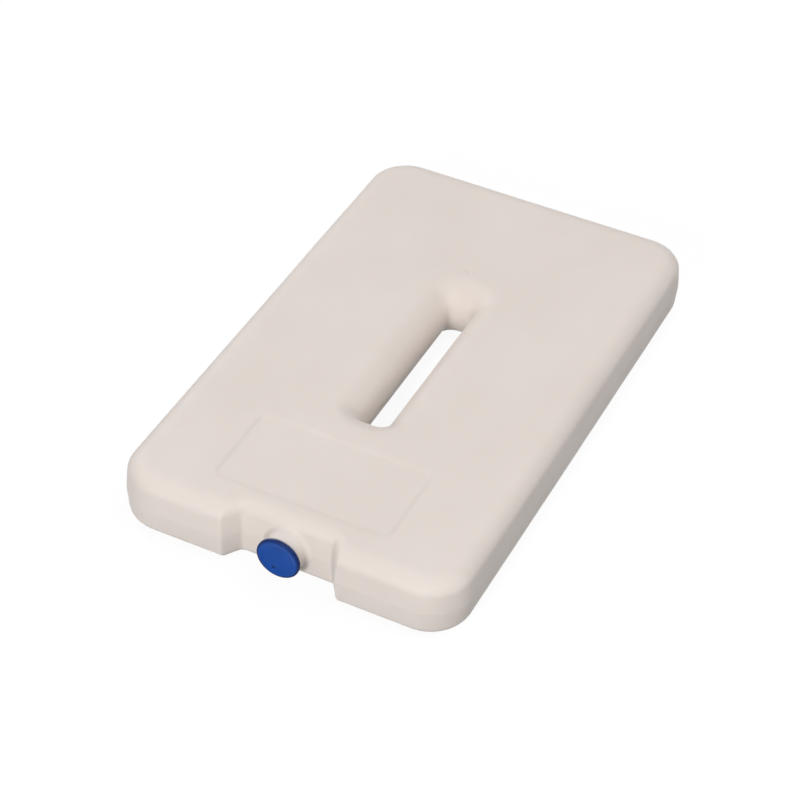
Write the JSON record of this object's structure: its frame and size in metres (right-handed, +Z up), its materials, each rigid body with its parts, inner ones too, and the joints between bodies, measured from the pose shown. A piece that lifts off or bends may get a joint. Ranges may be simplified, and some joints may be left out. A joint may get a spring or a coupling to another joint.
{
  "type": "ice_pack",
  "caption": "Reusable cooling plate: a flat sealed blow-moulded slab with a long funnelled grip slot, a bare label panel and a plug in a notch of its short edge.",
  "frame": {"origin": "the middle of the underside, where the plate lies on its support", "axes": "+X across the plate, +Y along its length and away from the filling plug, +Z up out of the face with the label panel"},
  "size_m": [0.1624, 0.265, 0.03],
  "materials": {
    "white_shell": "off-white blow-moulded polyethylene, satin, very slightly uneven",
    "blue_plug": "blue moulded polyethylene, half gloss"
  },
  "bodies": {
    "root": {"body": "white_shell", "filler_plug": "blue_plug"}
  },
  "joints": []
}
